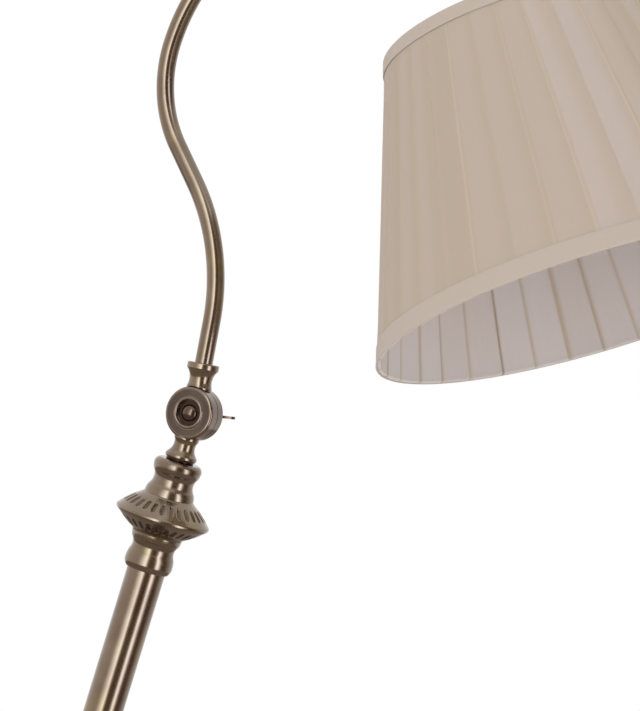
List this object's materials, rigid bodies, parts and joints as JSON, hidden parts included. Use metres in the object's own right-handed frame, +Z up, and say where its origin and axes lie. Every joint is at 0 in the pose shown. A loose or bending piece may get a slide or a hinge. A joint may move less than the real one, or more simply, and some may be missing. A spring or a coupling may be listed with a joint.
{
  "type": "bridge floor lamp",
  "caption": "Bridge floor lamp: weighted round foot, slim two-section pole, turned finial with a fluted knop, tilting knuckle with wing nut, swan-neck arm and pleated cone shade.",
  "frame": {"origin": "middle of the foot's underside, on the floor", "axes": "+Z up along the pole, +X the way the arm and shade reach, +Y towards the wing nut"},
  "size_m": [0.5052, 0.2956, 1.537],
  "materials": {
    "antique_brass": "antique, brushed lengthwise and lacquered satin",
    "red_brass": "reddish brass, satin",
    "bright_brass": "bright, unlacquered",
    "zinc_steel": "zinc plated",
    "cast_iron": "black paint over the casting's skin",
    "felt": "pressed felt",
    "fibre": "vulcanised fibre",
    "black_plastic": "moulded thermoset, satin",
    "porcelain": "glazed porcelain",
    "lamp_cap_aluminium": "rolled thread",
    "opal_glass": "opal, silica coated inside",
    "shade_fabric": "pleated fine cotton blend, matt",
    "shade_backing": "translucent laminated sheet",
    "lining_fabric": "pleated lining, matt",
    "trim_fabric": "folded bias band, matt",
    "shade_wire": "dark lacquered steel wire"
  },
  "bodies": {
    "stand": {"base_pad": "felt", "base_weight": "cast_iron", "base_cover": "antique_brass", "cable_gland": "black_plastic", "base_washer": "zinc_steel", "base_nut": "zinc_steel", "base_nipple": "zinc_steel", "foot_collar": "antique_brass", "pole_lower": "antique_brass", "pole_upper": "antique_brass", "foot_plug": "zinc_steel", "lower_joint_plug": "zinc_steel", "upper_joint_plug": "zinc_steel", "head_plug": "zinc_steel", "joint_nipple": "zinc_steel", "head_nipple": "zinc_steel", "pole_band": "antique_brass", "pole_collar": "antique_brass", "fluted_knop": "antique_brass", "neck_cup": "antique_brass", "neck_ring": "red_brass", "knuckle_lower": "antique_brass", "friction_washer": "fibre", "pivot_bolt": "antique_brass", "spring_washer": "zinc_steel"},
    "arm": {"knuckle_upper": "antique_brass", "arm_tube": "antique_brass", "arm_end_bush": "antique_brass", "holder_cap": "antique_brass", "holder_nut": "zinc_steel", "holder_skirt": "black_plastic", "holder_insert": "porcelain", "screw_shell": "bright_brass", "centre_contact": "bright_brass", "shade_ring_nut": "black_plastic", "lamp_cap": "lamp_cap_aluminium", "lamp_glass": "opal_glass", "shade_cover": "shade_fabric", "shade_backing": "shade_backing", "shade_lining": "lining_fabric", "top_trim": "trim_fabric", "bottom_trim": "trim_fabric", "shade_top_frame": "shade_wire", "shade_bottom_ring": "shade_wire"},
    "wing_nut": {"wing_nut": "antique_brass"}
  },
  "joints": [
    {"name": "arm_tilt", "type": "hinge", "parent": "stand", "child": "arm", "pos_m": [0, 0, 1.1698], "axis": [0, 1, 0], "range_deg": [-40, 75]},
    {"name": "wing_nut_turn", "type": "hinge", "parent": "stand", "child": "wing_nut", "pos_m": [0, 0, 1.1698], "axis": [0, 1, 0], "range_deg": [0, 270]}
  ]
}
